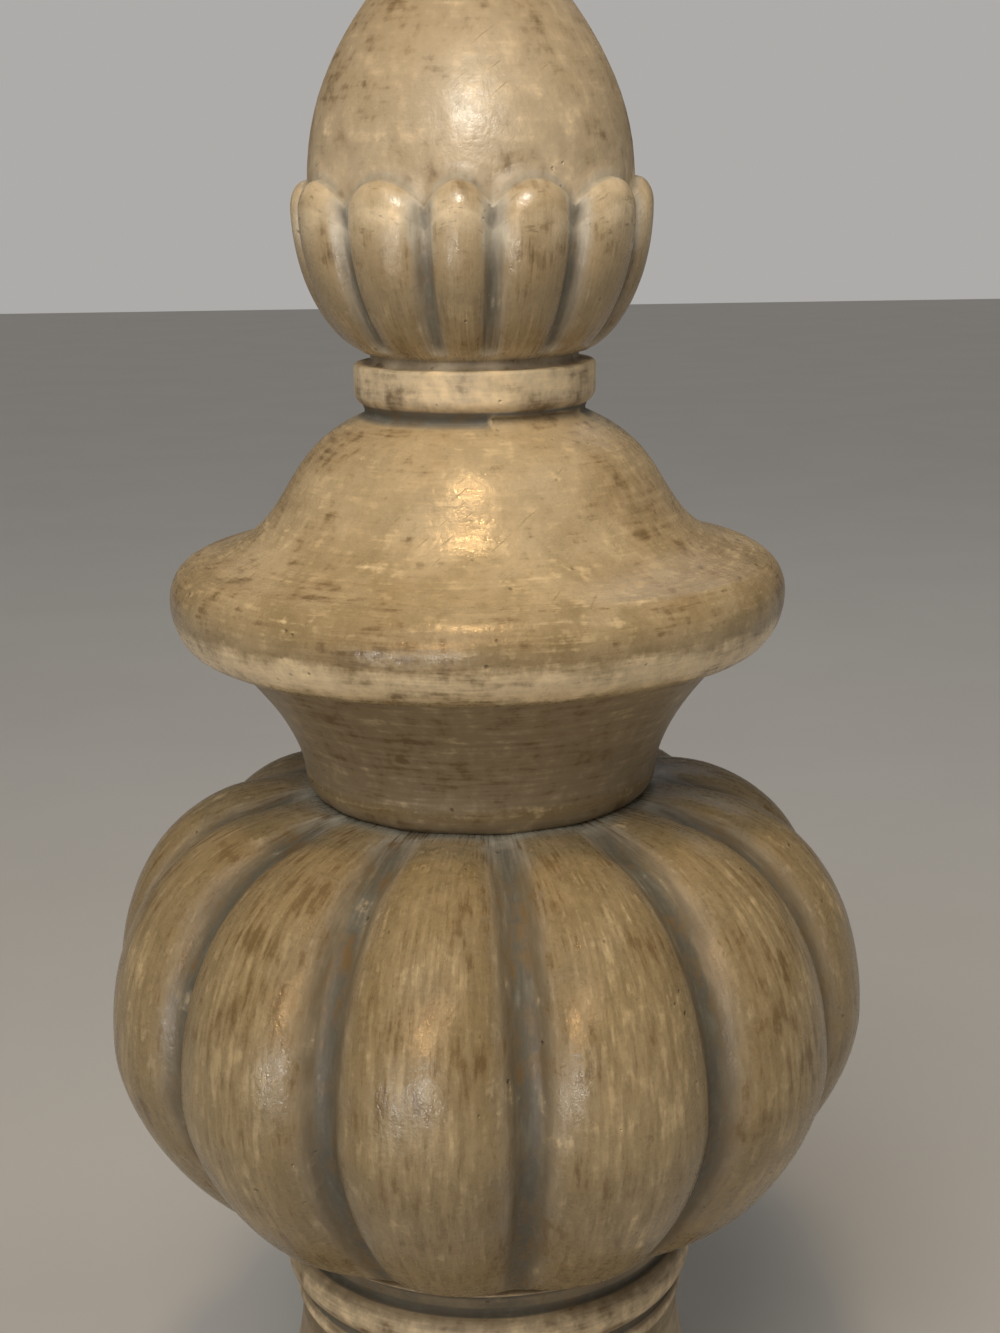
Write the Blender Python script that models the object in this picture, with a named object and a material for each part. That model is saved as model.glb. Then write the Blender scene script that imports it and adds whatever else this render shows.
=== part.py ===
"""Tabletop finial, cast in one piece: foot, neck, ring, lobed melon, cup, brim, bell, collar,
lobed calyx and bud. The outline is turned about Z, and the lobes are then carved into it."""

import math

import bmesh
import bpy

for old in list(bpy.data.objects):
    bpy.data.objects.remove(old, do_unlink=True)

# Lobes and columns
LOBES = 12
COLUMN_SHARES = (0.0, 0.10, 0.28, 0.50, 0.72, 0.90)
MELON_TURN_DEG = 6.0
CALYX_TURN_DEG = 11.0
CALYX_GROOVE_SHIFTS_DEG = (-4.2, -5.0, 0.5, 0.0, 0.0, 0.0, 0.0, 0.0, 0.0, 0.0, 2.7, 3.5)

# How many facets a round stretch gets, and where the outlines of the full forms are read
FOOT_STEPS = 4
NECK_STEPS = 3
BEAD_STEPS = 2
RING_STEPS = 3
BOWL_STEPS = 2
SWEEP_STEPS = 4
ROLL_STEPS = 5
BELL_STEPS = 6
EDGE_STEPS = 2
MELON_DROP_STATIONS = (0.99, 0.90, 0.75, 0.56, 0.34, 0.12)
MELON_RISE_STATIONS = (0.12, 0.34, 0.55, 0.73, 0.87, 0.96, 1.0)
CALYX_STATIONS = (1.0, 0.90, 0.72, 0.48, 0.22, 0.0)
BUD_STATIONS = (0.10, 0.34, 0.58, 0.79, 0.94)

# Foot and neck
FOOT_RADIUS = 0.094
FOOT_ROUND = 0.009
FOOT_HEIGHT = 0.030
FILLET_HEIGHT = 0.004
FILLET_STEP = 0.003
NECK_RADIUS = 0.0603
NECK_HEIGHT = 0.055
NECK_CURL = 1.6
NECK_POWER = 0.5

# Bead, ring, hollow and seat bead under the melon, each as far as it stands out from the neck
LOWER_BEAD_PROUD = 0.0016
LOWER_BEAD_HEIGHT = 0.0060
RING_PROUD = 0.0044
RING_HEIGHT = 0.0135
SEAT_BEAD_PROUD = 0.0056
SEAT_BEAD_HEIGHT = 0.0030
GROOVE_PROUD = 0.0002
GROOVE_HEIGHT = 0.0025
HOLLOW_PROUD = 0.0020
HOLLOW_HEIGHT = 0.0075

# Melon
MELON_SEAT_PROUD = 0.0042
MELON_RADIUS = 0.1155
MELON_DROP = 0.0645
MELON_RISE = 0.0690
MELON_TOP_RADIUS = 0.0470
MELON_DROP_SWELL = 1.65
MELON_DROP_POWER = 0.66
MELON_RISE_SWELL = 2.20
MELON_RISE_POWER = 0.38
MELON_GROOVE_DEPTH = 0.0100
MELON_GROOVE_WIDTH = 0.16
MELON_GROOVE_FADE = 5.0
MELON_GROOVE_POWER = 0.5

# Cup under the brim
CUP_JOINT_DEPTH = 0.0042
CUP_BOWL_SWELL = 0.0085
CUP_BOWL_HEIGHT = 0.0102
CUP_SWEEP_HEIGHT = 0.0385
CUP_SWEEP_POWER = 1.65

# Brim and bell
BRIM_RADIUS = 0.0906
BRIM_ROLL = 0.0115
BRIM_DROP = 0.0165
BRIM_UNDER_DEG = -75.0
BRIM_UPPER_DEG = 78.0
BELL_HEIGHT = 0.0405
BELL_SHOULDER_LEAN_DEG = 158.0
OGEE_REACH = 0.50

# Collar
COLLAR_RADIUS = 0.0354
COLLAR_HEIGHT = 0.0133
COLLAR_UNDERCUT = 0.0030
COLLAR_GROOVE_HEIGHT = 0.0015
COLLAR_LOWER_ROUND = 0.0050
COLLAR_LOWER_DEG = -60.0
COLLAR_UPPER_ROUND = 0.0016
STEM_INSET = 0.0050
STEM_HEIGHT = 0.0015

# Calyx and bud
CALYX_RADIUS = 0.0520
CALYX_RISE = 0.0415
CALYX_SWELL = 2.0
CALYX_POWER = 0.60
CALYX_RAISE = 0.0055
CALYX_GROOVE_FADE = 3.0
CALYX_GROOVE_POWER = 0.6
CALYX_SHOULDER = 0.0080
CALYX_ARCH = 0.0060
CALYX_GROOVE_WIDTH = 0.20
BUD_HEIGHT = 0.0745
BUD_SWELL = 2.0
BUD_POWER = 0.92
ARCH_REACH = 0.15

OUTLINE = []


def add_row(radius, height, cut=0.0, sink=0.0, width=MELON_GROOVE_WIDTH):
    """One point of the outline, with how deep its grooves are cut and how far they pull it down."""
    OUTLINE.append({"radius": radius, "height": height, "cut": cut, "sink": sink, "width": width})


def round_moulding(centre_radius, base, half_width, height, steps):
    """A half-round moulding that stands on base."""
    for step in range(steps + 1):
        angle = math.pi * (step / steps - 0.5)
        add_row(centre_radius + half_width * math.cos(angle),
                base + height * 0.5 * (1.0 + math.sin(angle)))
    return base + height


def swell(share, exponent, power):
    """The falling side of a full, egg-like curve: 1 at share 0, and 0 at share 1."""
    return max(0.0, 1.0 - share ** exponent) ** power


def ogee(start, start_lean_deg, end, end_lean_deg, steps):
    """An S-shaped sweep between two points, leaving and arriving at the given leans."""
    reach = OGEE_REACH * math.dist(start, end)
    lean_a = math.radians(start_lean_deg)
    lean_b = math.radians(end_lean_deg)
    handle_a = (start[0] + reach * math.cos(lean_a), start[1] + reach * math.sin(lean_a))
    handle_b = (end[0] - reach * math.cos(lean_b), end[1] - reach * math.sin(lean_b))
    for step in range(1, steps + 1):
        t = step / steps
        weights = ((1 - t) ** 3, 3 * t * (1 - t) ** 2, 3 * t * t * (1 - t), t ** 3)
        corners = (start, handle_a, handle_b, end)
        add_row(*(sum(w * c[axis] for w, c in zip(weights, corners)) for axis in (0, 1)))


# The foot is a thick round-edged disc, with a small fillet on it and a hollow sweep to the neck.
foot_flat_radius = FOOT_RADIUS - FOOT_ROUND
level = round_moulding(foot_flat_radius, 0.0, FOOT_ROUND, FOOT_HEIGHT, FOOT_STEPS)
level += FILLET_HEIGHT
add_row(foot_flat_radius, level)
neck_foot_radius = foot_flat_radius - FILLET_STEP
for step in range(NECK_STEPS + 1):
    share = 1.0 - step / NECK_STEPS
    spread = 1.0 - swell(share, NECK_CURL, NECK_POWER)
    add_row(NECK_RADIUS + (neck_foot_radius - NECK_RADIUS) * spread, level + NECK_HEIGHT * (1 - share))
level += NECK_HEIGHT

# A small bead, a bold ring, a hollow and the thin bead that the melon sits on.
groove_radius = NECK_RADIUS + GROOVE_PROUD
level = round_moulding(groove_radius, level, LOWER_BEAD_PROUD - GROOVE_PROUD, LOWER_BEAD_HEIGHT,
                       BEAD_STEPS)
level += GROOVE_HEIGHT
level = round_moulding(groove_radius, level, RING_PROUD - GROOVE_PROUD, RING_HEIGHT, RING_STEPS)
level += HOLLOW_HEIGHT
level = round_moulding(NECK_RADIUS + HOLLOW_PROUD, level, SEAT_BEAD_PROUD - HOLLOW_PROUD,
                       SEAT_BEAD_HEIGHT, BEAD_STEPS)

# The melon swells from its seat to its widest line, and closes in again under the cup.
seat_radius = NECK_RADIUS + MELON_SEAT_PROUD
belt = level + MELON_DROP
for share in MELON_DROP_STATIONS:
    radius = seat_radius + (MELON_RADIUS - seat_radius) * swell(share, MELON_DROP_SWELL, MELON_DROP_POWER)
    cut = MELON_GROOVE_DEPTH * swell(share, MELON_GROOVE_FADE, MELON_GROOVE_POWER)
    add_row(radius, belt - MELON_DROP * share, cut)
for share in MELON_RISE_STATIONS:
    radius = MELON_TOP_RADIUS + (MELON_RADIUS - MELON_TOP_RADIUS) * swell(
        share, MELON_RISE_SWELL, MELON_RISE_POWER)
    cut = MELON_GROOVE_DEPTH * swell(share, MELON_GROOVE_FADE, MELON_GROOVE_POWER)
    add_row(radius, belt + MELON_RISE * share, cut)
level = belt + MELON_RISE

# The cup starts in the joint with a round bowl, and sweeps out to the underside of the brim.
level -= CUP_JOINT_DEPTH
add_row(MELON_TOP_RADIUS - CUP_JOINT_DEPTH, level)
bowl_foot_radius = MELON_TOP_RADIUS - CUP_JOINT_DEPTH
for step in range(1, BOWL_STEPS + 1):
    angle = 0.5 * math.pi * step / BOWL_STEPS
    add_row(bowl_foot_radius + CUP_BOWL_SWELL * math.sin(angle),
            level + CUP_BOWL_HEIGHT * (1.0 - math.cos(angle)))
level += CUP_BOWL_HEIGHT
waist_radius = bowl_foot_radius + CUP_BOWL_SWELL
roll_centre = BRIM_RADIUS - BRIM_ROLL
under_angle = math.radians(BRIM_UNDER_DEG)
under_radius = roll_centre + BRIM_ROLL * math.cos(under_angle)
for step in range(1, SWEEP_STEPS + 1):
    share = step / SWEEP_STEPS
    add_row(waist_radius + (under_radius - waist_radius) * share ** CUP_SWEEP_POWER,
            level + CUP_SWEEP_HEIGHT * share)
level += CUP_SWEEP_HEIGHT

# The brim is a thick roll, deeper below than above. The bell on it is an ogee that ends in the
# groove under the collar.
roll_level = level - BRIM_DROP * math.sin(under_angle)
upper_angle = math.radians(BRIM_UPPER_DEG)
for step in range(1, ROLL_STEPS + 1):
    angle = under_angle + (upper_angle - under_angle) * step / ROLL_STEPS
    reach = BRIM_DROP if angle < 0.0 else BRIM_ROLL
    add_row(roll_centre + BRIM_ROLL * math.cos(angle), roll_level + reach * math.sin(angle))
brim_top = (OUTLINE[-1]["radius"], OUTLINE[-1]["height"])
bell_top = (COLLAR_RADIUS - COLLAR_UNDERCUT, brim_top[1] + BELL_HEIGHT)
ogee(brim_top, BRIM_UPPER_DEG + 90.0, bell_top, BELL_SHOULDER_LEAN_DEG, BELL_STEPS)
level = bell_top[1] + COLLAR_GROOVE_HEIGHT

# The collar has a soft lower edge and a crisper upper one, and a short stem stands on it.
lower_centre = COLLAR_RADIUS - COLLAR_LOWER_ROUND
for step in range(EDGE_STEPS + 1):
    angle = math.radians(COLLAR_LOWER_DEG * (1.0 - step / EDGE_STEPS))
    add_row(lower_centre + COLLAR_LOWER_ROUND * math.cos(angle),
            level + COLLAR_LOWER_ROUND * (1.0 + math.sin(angle)))
level += COLLAR_HEIGHT
upper_centre = COLLAR_RADIUS - COLLAR_UPPER_ROUND
add_row(COLLAR_RADIUS, level - COLLAR_UPPER_ROUND)
add_row(upper_centre, level)
stem_radius = COLLAR_RADIUS - STEM_INSET
add_row(stem_radius, level)
level += STEM_HEIGHT

# The calyx is a ring of raised lobes that stand on the bud and end above in round arches.
calyx_level = level + CALYX_RISE
for share in CALYX_STATIONS:
    radius = stem_radius + (CALYX_RADIUS - stem_radius) * swell(share, CALYX_SWELL, CALYX_POWER)
    cut = CALYX_RAISE * swell(share, CALYX_GROOVE_FADE, CALYX_GROOVE_POWER)
    sink = CALYX_ARCH * (1.0 - share) ** 3
    add_row(radius, calyx_level - CALYX_RISE * share, cut, sink, CALYX_GROOVE_WIDTH)
bud_radius = CALYX_RADIUS - CALYX_RAISE
for step in range(1, EDGE_STEPS + 1):
    angle = 0.5 * math.pi * step / EDGE_STEPS
    add_row(bud_radius + CALYX_RAISE * math.cos(angle), calyx_level + CALYX_SHOULDER * math.sin(angle),
            CALYX_RAISE * math.cos(angle), CALYX_ARCH, CALYX_GROOVE_WIDTH)
level = calyx_level + CALYX_SHOULDER

# The bud runs up from behind the arches to a blunt point.
for share in BUD_STATIONS:
    sink = CALYX_ARCH * max(0.0, 1.0 - share / ARCH_REACH)
    add_row(bud_radius * swell(share, BUD_SWELL, BUD_POWER), level + BUD_HEIGHT * share, 0.0, sink)
tip_height = level + BUD_HEIGHT


def lobe_rise(share, width):
    """How far a lobe has risen from its groove, 0 to 1, at a share of the way to the next groove."""
    from_groove = 1.0 - abs(2.0 * share - 1.0)
    soft = math.sqrt(from_groove ** 2 + width ** 2) - width
    soft /= math.sqrt(1.0 + width ** 2) - width
    return math.sqrt(max(0.0, 1.0 - (1.0 - soft) ** 2))


def groove_angle(groove, turn_deg, shifts):
    """The azimuth of a groove, counted from the front of the finial."""
    return math.radians(turn_deg + 360.0 * groove / LOBES + shifts[groove % len(shifts)])


def column_angle(column, calyx_share):
    """A column's azimuth. It leans from the melon's lobes below to the calyx's lobes above."""
    per_lobe = len(COLUMN_SHARES)
    groove, place = divmod(column, per_lobe)
    share = COLUMN_SHARES[place]
    angles = []
    for turn_deg, shifts in ((MELON_TURN_DEG, (0.0,)), (CALYX_TURN_DEG, CALYX_GROOVE_SHIFTS_DEG)):
        here = groove_angle(groove, turn_deg, shifts)
        following = groove_angle(groove + 1, turn_deg, shifts)
        angles.append(here + share * (following - here))
    return angles[0] + (angles[1] - angles[0]) * calyx_share


def outline_normal(index):
    """The outward direction of the outline at a row, in radius and height."""
    before = OUTLINE[max(index - 1, 0)]
    after = OUTLINE[min(index + 1, len(OUTLINE) - 1)]
    run = after["radius"] - before["radius"]
    rise = after["height"] - before["height"]
    length = math.hypot(run, rise)
    return rise / length, -run / length


def carved_point(index, column, melon_top, calyx_foot):
    """Where one point of the turned body lies once its lobes are carved."""
    row = OUTLINE[index]
    share = COLUMN_SHARES[column % len(COLUMN_SHARES)]
    rise = lobe_rise(share, row["width"])
    out, up = outline_normal(index)
    depth = row["cut"] * (1.0 - rise)
    arch = (2.0 * share - 1.0) ** 2
    radius = row["radius"] - out * depth
    height = row["height"] - up * depth - row["sink"] * arch
    calyx_share = min(1.0, max(0.0, (row["height"] - melon_top) / (calyx_foot - melon_top)))
    angle = column_angle(column, calyx_share)
    return radius * math.sin(angle), -radius * math.cos(angle), height


def build_finial():
    """The whole casting as one closed mesh: rings of points, walls between them, and two ends."""
    columns = LOBES * len(COLUMN_SHARES)
    melon_top = belt + MELON_RISE
    calyx_foot = calyx_level - CALYX_RISE
    body = bmesh.new()
    rings = []
    for index in range(len(OUTLINE)):
        rings.append([body.verts.new(carved_point(index, column, melon_top, calyx_foot))
                      for column in range(columns)])
    for lower, upper in zip(rings, rings[1:]):
        for column in range(columns):
            beside = (column + 1) % columns
            body.faces.new((lower[column], lower[beside], upper[beside], upper[column]))
    body.faces.new(reversed(rings[0]))
    tip = body.verts.new((0.0, 0.0, tip_height))
    for column in range(columns):
        body.faces.new((rings[-1][column], rings[-1][(column + 1) % columns], tip))
    mesh = bpy.data.meshes.new("finial")
    body.to_mesh(mesh)
    body.free()
    mesh.shade_smooth()
    mesh.set_sharp_from_angle(angle=math.radians(40.0))
    return mesh


def painted_finish():
    """Tan paint, dry-brushed brown, with a satin top coat."""
    finish = bpy.data.materials.new("distressed_tan_paint")
    finish.use_nodes = True
    shader = finish.node_tree.nodes["Principled BSDF"]
    shader.inputs["Base Color"].default_value = (0.36, 0.25, 0.13, 1.0)
    shader.inputs["Roughness"].default_value = 0.5
    shader.inputs["Metallic"].default_value = 0.0
    return finish


finial = bpy.data.objects.new("finial", build_finial())
finial.data.materials.append(painted_finish())
bpy.context.scene.collection.objects.link(finial)
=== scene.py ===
import math

import bpy
from mathutils import Matrix


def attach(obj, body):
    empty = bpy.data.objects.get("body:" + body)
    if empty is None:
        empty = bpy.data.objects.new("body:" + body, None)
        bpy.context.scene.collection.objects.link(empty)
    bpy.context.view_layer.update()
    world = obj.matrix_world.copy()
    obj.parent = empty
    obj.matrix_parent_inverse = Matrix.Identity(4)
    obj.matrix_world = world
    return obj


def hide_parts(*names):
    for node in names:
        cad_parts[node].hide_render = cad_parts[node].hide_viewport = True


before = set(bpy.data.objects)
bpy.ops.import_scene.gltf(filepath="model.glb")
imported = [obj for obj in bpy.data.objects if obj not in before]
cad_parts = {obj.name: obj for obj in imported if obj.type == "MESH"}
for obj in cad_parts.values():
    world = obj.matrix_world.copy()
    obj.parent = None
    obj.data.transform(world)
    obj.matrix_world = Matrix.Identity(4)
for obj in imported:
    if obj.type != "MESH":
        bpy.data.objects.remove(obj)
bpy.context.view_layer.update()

# The camera stands a little above the brim and close by, level with a person's eyes at a table.
CAMERA_PLACE = (0.0, -0.58, 0.435)
CAMERA_PITCH_DEG = 13.99
CAMERA_YAW_DEG = 0.61
CAMERA_ROLL_DEG = 0.83
FOCAL_PIXELS = 2000.0
IMAGE_HEIGHT_PIXELS = 1333.0
SENSOR_HEIGHT_MM = 36.0
camera = bpy.data.objects.new("camera", bpy.data.cameras.new("camera"))
camera.data.sensor_fit = "VERTICAL"
camera.data.sensor_height = SENSOR_HEIGHT_MM
camera.data.lens = FOCAL_PIXELS / IMAGE_HEIGHT_PIXELS * SENSOR_HEIGHT_MM
camera.data.clip_start = 0.01
camera.matrix_world = (
    Matrix.Translation(CAMERA_PLACE)
    @ Matrix.Rotation(-math.radians(CAMERA_YAW_DEG), 4, "Z")
    @ Matrix.Rotation(math.radians(90.0 - CAMERA_PITCH_DEG), 4, "X")
    @ Matrix.Rotation(-math.radians(CAMERA_ROLL_DEG), 4, "Z"))
bpy.context.scene.collection.objects.link(camera)
bpy.context.scene.camera = camera
bpy.context.scene.view_settings.view_transform = "Standard"

# The finial is one casting, most likely in resin, poured in a mould taken from a carved and turned
# pattern. It is built as that pattern was: a turned outline, with the lobes cut into it after.
outline = []


def add_row(radius, height, cut=0.0, sink=0.0, floor=0.15, **looks):
    """One point of the outline. Cut, sink and floor are how deep its grooves go in, how far they pull
    it down and how wide their round floors are. Looks are flash, which is how far the mould's leak
    fills it right of its seam, and how much it is lobed, glazed, washed with grey, rubbed pale and
    painted pale. On the melon's ends the glaze is also painted shade, and on the collar's face the
    rubbing and pale paint are also a painted highlight. A wash above 1 is the light grey line of a
    joint."""
    row = {"radius": radius, "height": height, "cut": cut, "sink": sink, "floor": floor,
           "flash": 0.0, "seam": 0.0, "lobed": 0.0, "glaze": 0.6, "wash": 1.0, "rub": 0.0,
           "pale": 0.0}
    row.update(looks)
    outline.append(row)


def swell(share, exponent, power):
    """The falling side of a full, egg-like curve: 1 at share 0, and 0 at share 1."""
    return max(0.0, 1.0 - share ** exponent) ** power


def round_moulding(centre_radius, base, half_width, height, steps, rub=0.0):
    """A half-round moulding that stands on base, rubbed along its middle."""
    for step in range(steps + 1):
        angle = math.pi * (step / steps - 0.5)
        add_row(centre_radius + half_width * math.cos(angle),
                base + height * 0.5 * (1.0 + math.sin(angle)), rub=rub * math.cos(angle) ** 2)
    return base + height


def arc_rows(centre_radius, centre_height, reach, from_deg, to_deg, steps, **looks):
    """Part of a circle, after its first point."""
    for step in range(1, steps + 1):
        angle = math.radians(from_deg + (to_deg - from_deg) * step / steps)
        add_row(centre_radius + reach * math.cos(angle), centre_height + reach * math.sin(angle), **looks)


# Foot: a thick round-edged disc with a small fillet, and a hollow sweep up to the neck. It is below
# the picture's edge, so it is kept plain.
FOOT_RADIUS = 0.094
FOOT_ROUND = 0.009
FOOT_HEIGHT = 0.030
FILLET_HEIGHT = 0.004
FILLET_STEP = 0.003
NECK_RADIUS = 0.0603
NECK_HEIGHT = 0.055
NECK_CURL = 1.6
NECK_POWER = 0.5
NECK_WASH = 0.25
FOOT_RUB = 0.5
FILLET_CORNER = 0.0006
FILLET_LIP = 0.0004
FOOT_STEPS = 10
NECK_STEPS = 14
foot_flat_radius = FOOT_RADIUS - FOOT_ROUND
add_row(0.0, 0.0)
add_row(foot_flat_radius / 2, 0.0)
level = round_moulding(foot_flat_radius, 0.0, FOOT_ROUND, FOOT_HEIGHT, FOOT_STEPS, rub=FOOT_RUB)
add_row(foot_flat_radius - FILLET_CORNER, level + FILLET_LIP)
add_row(foot_flat_radius - FILLET_CORNER, level + FILLET_HEIGHT - FILLET_CORNER)
level += FILLET_HEIGHT
neck_foot_radius = foot_flat_radius - FILLET_STEP
for step in range(NECK_STEPS + 1):
    share = math.sin(0.5 * math.pi * (1.0 - step / NECK_STEPS))
    spread = 1.0 - swell(share, NECK_CURL, NECK_POWER)
    add_row(NECK_RADIUS + (neck_foot_radius - NECK_RADIUS) * spread, level + NECK_HEIGHT * (1 - share),
            wash=NECK_WASH)
level += NECK_HEIGHT

# Ring stack: a small bead, a bold ring, a hollow, and the thin bead that the melon sits on. They
# were turned side by side, and their crests are rubbed.
LOWER_BEAD_PROUD = 0.0016
LOWER_BEAD_HEIGHT = 0.0060
RING_PROUD = 0.0044
RING_HEIGHT = 0.0135
SEAT_BEAD_PROUD = 0.0056
SEAT_BEAD_HEIGHT = 0.0030
GROOVE_PROUD = 0.0002
GROOVE_HEIGHT = 0.0025
HOLLOW_PROUD = 0.0020
HOLLOW_HEIGHT = 0.0075
HOLLOW_SHARES = (0.3, 0.7)
LOWER_BEAD_RUB = 0.6
RING_RUB = 0.7
SEAT_BEAD_RUB = 0.5
BEAD_STEPS = 6
RING_STEPS = 12
groove_radius = NECK_RADIUS + GROOVE_PROUD
level = round_moulding(groove_radius, level, LOWER_BEAD_PROUD - GROOVE_PROUD, LOWER_BEAD_HEIGHT,
                       BEAD_STEPS, rub=LOWER_BEAD_RUB)
level += GROOVE_HEIGHT
level = round_moulding(groove_radius, level, RING_PROUD - GROOVE_PROUD, RING_HEIGHT,
                       RING_STEPS, rub=RING_RUB)
for share in HOLLOW_SHARES:
    add_row(groove_radius + (HOLLOW_PROUD - GROOVE_PROUD) * share, level + HOLLOW_HEIGHT * share)
level += HOLLOW_HEIGHT
level = round_moulding(NECK_RADIUS + HOLLOW_PROUD, level, SEAT_BEAD_PROUD - HOLLOW_PROUD,
                       SEAT_BEAD_HEIGHT, BEAD_STEPS, rub=SEAT_BEAD_RUB)

# Melon: twelve full lobes from a narrow seat to a narrow top, widest just below the middle. They
# were carved into a turned ball, with narrow round grooves that run out towards both ends.
MELON_SEAT_PROUD = 0.0042
MELON_RADIUS = 0.1155
MELON_DROP = 0.0645
MELON_RISE = 0.0690
MELON_TOP_RADIUS = 0.0470
MELON_DROP_SWELL = 1.65
MELON_DROP_POWER = 0.66
MELON_RISE_SWELL = 2.20
MELON_RISE_POWER = 0.38
MELON_GROOVE_DEPTH = 0.0100
MELON_GROOVE_FLOOR = 0.115
MELON_GROOVE_TAPER = 0.25
MELON_GROOVE_FADE = 6.0
MELON_GROOVE_SHALLOWS = 0.55
MELON_GROOVE_END = 0.92
MELON_GROOVE_END_STEPS = 5
# The extra glaze at the melon's bottom and top is painted shade, which makes those ends darker.
MELON_LOW_PAINTED_SHADE = 1.0
MELON_TOP_PAINTED_SHADE = 0.35
MELON_TOP_PALE = 0.6
MELON_JOINT_WASH = 3.5
MELON_DROP_STEPS = 34
MELON_RISE_STEPS = 38
seat_radius = NECK_RADIUS + MELON_SEAT_PROUD
belt = level + MELON_DROP
for step in range(MELON_DROP_STEPS):
    share = math.sin(0.5 * math.pi * (1.0 - step / MELON_DROP_STEPS))
    radius = seat_radius + (MELON_RADIUS - seat_radius) * swell(
        share, MELON_DROP_SWELL, MELON_DROP_POWER)
    cut = MELON_GROOVE_DEPTH * (1.0 - share ** MELON_GROOVE_FADE)
    floor = MELON_GROOVE_FLOOR * MELON_RADIUS / radius * (1.0 - MELON_GROOVE_TAPER * share)
    # The glaze grows towards the seat as painted shade.
    add_row(radius, belt - MELON_DROP * share, cut, 0.0, floor, lobed=1.0,
            glaze=1.0 + MELON_LOW_PAINTED_SHADE * share ** 3)
for step in range(MELON_RISE_STEPS + 1):
    share = math.sin(0.5 * math.pi * step / MELON_RISE_STEPS)
    radius = MELON_TOP_RADIUS + (MELON_RADIUS - MELON_TOP_RADIUS) * swell(
        share, MELON_RISE_SWELL, MELON_RISE_POWER)
    end = max(0.0, 1.0 - (MELON_RISE_STEPS - step) / MELON_GROOVE_END_STEPS)
    cut = MELON_GROOVE_DEPTH * (1.0 - MELON_GROOVE_SHALLOWS * share ** MELON_GROOVE_FADE) * (
        1.0 - MELON_GROOVE_END * end)
    floor = MELON_GROOVE_FLOOR * MELON_RADIUS / radius * (1.0 + MELON_GROOVE_TAPER * share)
    # The glaze grows towards the top as painted shade.
    add_row(radius, belt + MELON_RISE * share, cut, 0.0, floor, lobed=1.0,
            glaze=1.0 + MELON_TOP_PAINTED_SHADE * share * share, pale=MELON_TOP_PALE * end,
            wash=1.0 + max(0.0, MELON_JOINT_WASH * end - (MELON_JOINT_WASH - 1.0)))
melon_top = belt + MELON_RISE
level = melon_top

# Cup: it starts round in the joint on the melon, and sweeps out to the underside of the brim. The
# joint is filled by a thin leak of resin to the right of the mould's seam.
CUP_JOINT_DEPTH = 0.0022
CUP_BOWL_SWELL = 0.0085
CUP_BOWL_HEIGHT = 0.0082
CUP_SWEEP_HEIGHT = 0.0385
CUP_SWEEP_POWER = 1.65
CUP_FLASH = 0.0010
CUP_SEAM = math.radians(9.0)
CUP_WASH = 0.5
CUP_GLAZE = 0.9
CUP_LIP_REACH = 0.0016
CUP_LIP_RISE = 0.0010
JOINT_LINE = 2.0
BRIM_RADIUS = 0.0906
BRIM_ROLL = 0.0115
BRIM_DROP = 0.0165
BRIM_UNDER_DEG = -104.0
BRIM_UPPER_DEG = 78.0
BOWL_STEPS = 8
SWEEP_STEPS = 18
level -= CUP_JOINT_DEPTH
bowl_foot_radius = MELON_TOP_RADIUS - CUP_JOINT_DEPTH
add_row(bowl_foot_radius + CUP_LIP_REACH, level + CUP_LIP_RISE, flash=CUP_FLASH, seam=CUP_SEAM,
        wash=JOINT_LINE)
add_row(bowl_foot_radius, level, flash=CUP_FLASH, seam=CUP_SEAM, wash=JOINT_LINE)
for step in range(1, BOWL_STEPS + 1):
    angle = 0.5 * math.pi * step / BOWL_STEPS
    add_row(bowl_foot_radius + CUP_BOWL_SWELL * math.sin(angle),
            level + CUP_BOWL_HEIGHT * (1.0 - math.cos(angle)), glaze=CUP_GLAZE,
            wash=JOINT_LINE - JOINT_LINE * step / BOWL_STEPS)
level += CUP_BOWL_HEIGHT
waist_radius = bowl_foot_radius + CUP_BOWL_SWELL
roll_centre = BRIM_RADIUS - BRIM_ROLL
under_angle = math.radians(BRIM_UNDER_DEG)
under_radius = roll_centre + BRIM_ROLL * math.cos(under_angle)
for step in range(1, SWEEP_STEPS + 1):
    share = step / SWEEP_STEPS
    add_row(waist_radius + (under_radius - waist_radius) * share ** CUP_SWEEP_POWER,
            level + CUP_SWEEP_HEIGHT * share, glaze=CUP_GLAZE, wash=CUP_WASH)
level += CUP_SWEEP_HEIGHT

# Brim: a thick roll, deeper below than above, turned in one with the cup, and rubbed pale along
# its edge.
ROLL_STEPS = 24
BRIM_SEAT = 0.97
RUBBED_DEG = -38.0
RUBBED_REACH_DEG = 32.0
BRIM_GLAZE = 0.7
roll_level = level + BRIM_DROP * BRIM_SEAT
for step in range(1, ROLL_STEPS + 1):
    angle = under_angle + (math.radians(BRIM_UPPER_DEG) - under_angle) * step / ROLL_STEPS
    reach = BRIM_DROP if angle < 0.0 else BRIM_ROLL
    off_edge = (math.degrees(angle) - RUBBED_DEG) / RUBBED_REACH_DEG
    add_row(roll_centre + BRIM_ROLL * math.cos(angle), roll_level + reach * math.sin(angle),
            glaze=BRIM_GLAZE, wash=0.0, rub=max(0.0, 1.0 - off_edge * off_edge))

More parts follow.
